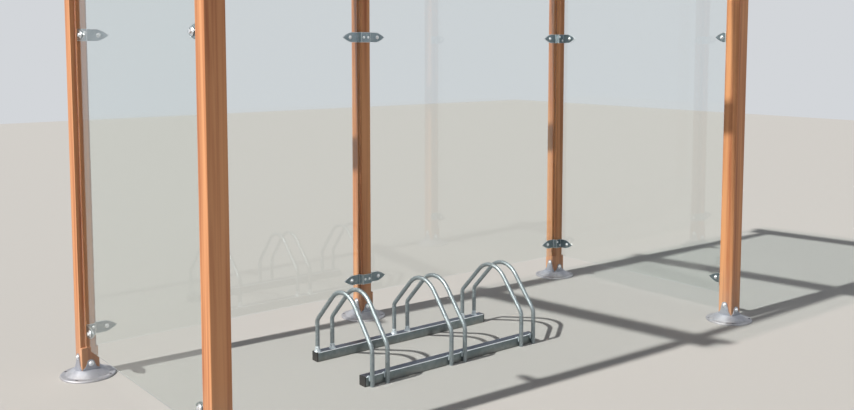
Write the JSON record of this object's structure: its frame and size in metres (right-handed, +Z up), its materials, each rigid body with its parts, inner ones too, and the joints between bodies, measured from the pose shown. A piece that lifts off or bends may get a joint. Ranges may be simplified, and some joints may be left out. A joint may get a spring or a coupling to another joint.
{
  "type": "bike shelter",
  "caption": "Timber-framed bike shelter with clear walls held by pointed straps, round galvanised feet, a clear sloping roof and a floor rack of bent hoops.",
  "frame": {"origin": "middle of the shelter's bounding box on the ground", "axes": "+X along the back wall to the right seen from the open front, +Y towards the back wall, +Z up"},
  "size_m": [2.94, 1.44, 2.3573],
  "materials": {
    "post_timber": "planed and stained red-brown",
    "beam_timber": "planed and stained red-brown",
    "foot_zinc": "hot-dip galvanised, dull",
    "strap_zinc": "galvanised, slightly glossy",
    "clear_wall": "clear, glossy",
    "clear_roof": "clear, glossy",
    "rail_zinc": "galvanised, semi-gloss",
    "hoop_zinc": "galvanised, glossy",
    "cap_plastic": "moulded black"
  },
  "bodies": {
    "root": {"post_back_left": "post_timber", "post_back_middle": "post_timber", "post_back_right": "post_timber", "post_front_left": "post_timber", "post_front_right": "post_timber", "foot_back_left": "foot_zinc", "foot_back_middle": "foot_zinc", "foot_back_right": "foot_zinc", "foot_front_left": "foot_zinc", "foot_front_right": "foot_zinc", "straps_back_left": "strap_zinc", "straps_back_middle": "strap_zinc", "straps_back_right": "strap_zinc", "straps_front_left": "strap_zinc", "straps_front_right": "strap_zinc", "back_sheet_left": "clear_wall", "back_sheet_right": "clear_wall", "side_sheet_left": "clear_wall", "side_sheet_right": "clear_wall", "beam_back": "beam_timber", "beam_front": "beam_timber", "rafter_left": "beam_timber", "rafter_middle": "beam_timber", "rafter_right": "beam_timber", "roof_sheet_left": "clear_roof", "roof_sheet_right": "clear_roof", "cover_left": "strap_zinc", "cover_middle": "strap_zinc", "cover_right": "strap_zinc", "rack_rail_front": "rail_zinc", "rack_rail_rear": "rail_zinc", "rack_caps": "cap_plastic", "rack_hoop_1": "hoop_zinc", "rack_hoop_2": "hoop_zinc", "rack_hoop_3": "hoop_zinc", "rack_hoop_4": "hoop_zinc", "rack_hoop_5": "hoop_zinc", "rack_hoop_6": "hoop_zinc"}
  },
  "joints": []
}
